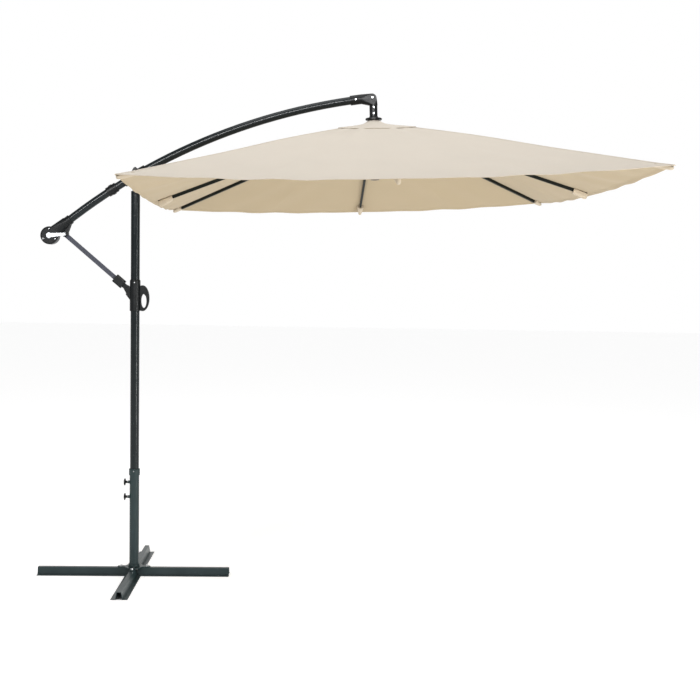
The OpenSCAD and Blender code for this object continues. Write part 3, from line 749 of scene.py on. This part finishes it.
def buildFootWeld():
    bead, count = weld["bead"], weld["sides"]
    points = []
    for step in range(weld["steps"] + 1):
        swing = math.pi * step / weld["steps"]
        radius = weld["radius"] + bead * math.sin(swing) * weld["fullness"]
        height = bead * (1 - math.cos(swing)) / 2
        for i in range(count):
            a = roundAngle(i, count)
            ripple = abs(math.sin(a * weld["scallops"])) * (radius - weld["radius"]) / bead
            z = weld["seat"] + height * (1 + weld["scallop"] * ripple)
            points.append(Vector((radius * math.cos(a), radius * math.sin(a), z)))
    faces = ringFaces(weld["steps"] + 1, count, False)
    last = weld["steps"] * count
    faces += [(last + i, last + (i + 1) % count, (i + 1) % count, i) for i in range(count)]
    addPiece("footWeld", points, faces, "basePaint", "base")
    print("foot weld made")


buildFootWeld()


# The floor glows evenly, except in the strips under the cross bars, where the glow is cut to paint the
# shadow where no light gets in.
studio = {
    "floorSize": 60.0, "floorDrop": -0.0005, "floorTone": 0.85, "floorGlow": 0.60,
    "shadeHalfWidth": 0.022, "shadeAlongX": 0.54, "shadeAlongY": 0.49,
}


def buildFloor():
    half, low = studio["floorSize"] / 2, studio["floorDrop"]
    corners = [(-half, -half, low), (half, -half, low), (half, half, low), (-half, half, low)]
    floor = addPiece("studioFloor", corners, [(0, 1, 2, 3)], "basePaint", None, False)
    paper = Finish("studioPaper", Roughness=0.9, Specular_IOR_Level=0.1)
    tone, narrow = studio["floorTone"], studio["shadeHalfWidth"]
    paper.set("Base Color", (tone, tone, tone, 1))
    fromX, fromY = (paper.along(axis, paper.place()).size() for axis in ("X", "Y"))
    # Masks of the painted shadow strips under the two cross bars.
    paintedShadowUnderBarY = fromX.below(narrow) * fromY.below(studio["shadeAlongY"])
    paintedShadowUnderBarX = fromY.below(narrow) * fromX.below(studio["shadeAlongX"])
    glow = paper.blendColours(paintedShadowUnderBarY + paintedShadowUnderBarX, (1, 1, 1, 1), (0, 0, 0, 1))
    paper.set("Emission Color", glow)
    paper.set("Emission Strength", studio["floorGlow"])
    floor.data.materials.clear()
    floor.data.materials.append(paper.material)


# White behind the parasol, grey elsewhere, so that round tubes keep dark sides.
sky = {"From Min": 0.55, "From Max": 0.80, "To Min": 0.34, "To Max": 1.0}


def buildSky():
    world = bpy.data.worlds.new("studioSky")
    bpy.context.scene.world = world
    world.use_nodes = True
    background = next(n for n in world.node_tree.nodes if n.type == "BACKGROUND")
    links, add = world.node_tree.links, world.node_tree.nodes.new
    place, split, ramp = (add("ShaderNode" + kind) for kind in ("TexCoord", "SeparateXYZ", "MapRange"))
    links.new(place.outputs["Generated"], split.inputs[0])
    links.new(split.outputs["Y"], ramp.inputs["Value"])
    for key, value in sky.items():
        ramp.inputs[key].default_value = value
    background.inputs["Color"].default_value = (1, 1, 1, 1)
    links.new(ramp.outputs[0], background.inputs["Strength"])


# The boom strip only shows in shiny surfaces and lights nothing else.
lamps = {
    "keyPanel": {"at": (-3.4, -5.2, 4.6), "to": (0.3, 0, 1.4), "size": (0.5, 3.6), "watts": 52},
    "sideStrip": {"at": (4.6, -3.4, 1.15), "to": (0.0, 0, 1.15), "size": (0.35, 2.2), "watts": 80},
    "topPanel": {"at": (1.2, -1.0, 6.2), "to": (1.2, 0, 2.4), "size": (4.5, 4.5), "watts": 128},
    "boomStrip": {"at": (0.4, -6.4, 4.0), "to": (0.4, 0, 2.5), "size": (7.0, 0.55), "watts": 520,
                  "glintOnly": True},
}


def buildLamps():
    for name, lamp in lamps.items():
        light = bpy.data.lights.new(name, "AREA")
        light.shape, light.energy = "RECTANGLE", lamp["watts"]
        light.size, light.size_y = lamp["size"]
        holder = bpy.data.objects.new(name, light)
        aim = Vector(lamp["to"]) - Vector(lamp["at"])
        turn = aim.to_track_quat("-Z", "Y").to_matrix().to_4x4()
        holder.matrix_world = Matrix.Translation(lamp["at"]) @ turn
        holder.visible_diffuse = not lamp.get("glintOnly", False)
        bpy.context.scene.collection.objects.link(holder)


camera = {
    "place": (0.9846, -6.0903, 1.7311), "yaw": -2.22, "pitch": -3.94, "roll": -1.02,
    "millimetres": 54.97, "sensor": 36.0,
}


def buildCamera():
    data = bpy.data.cameras.new("camera")
    data.lens, data.sensor_width = camera["millimetres"], camera["sensor"]
    holder = bpy.data.objects.new("camera", data)
    turn = Matrix.Identity(4)
    for degrees, axis in ((camera["yaw"], "Z"), (camera["pitch"], "X"), (camera["roll"], "Y"), (90, "X")):
        turn = turn @ Matrix.Rotation(math.radians(degrees), 4, axis)
    holder.matrix_world = Matrix.Translation(camera["place"]) @ turn
    bpy.context.scene.collection.objects.link(holder)
    bpy.context.scene.camera = holder


buildFloor()
buildSky()
buildLamps()
buildCamera()
bpy.context.scene.view_settings.view_transform = "Standard"
print("studio ready")
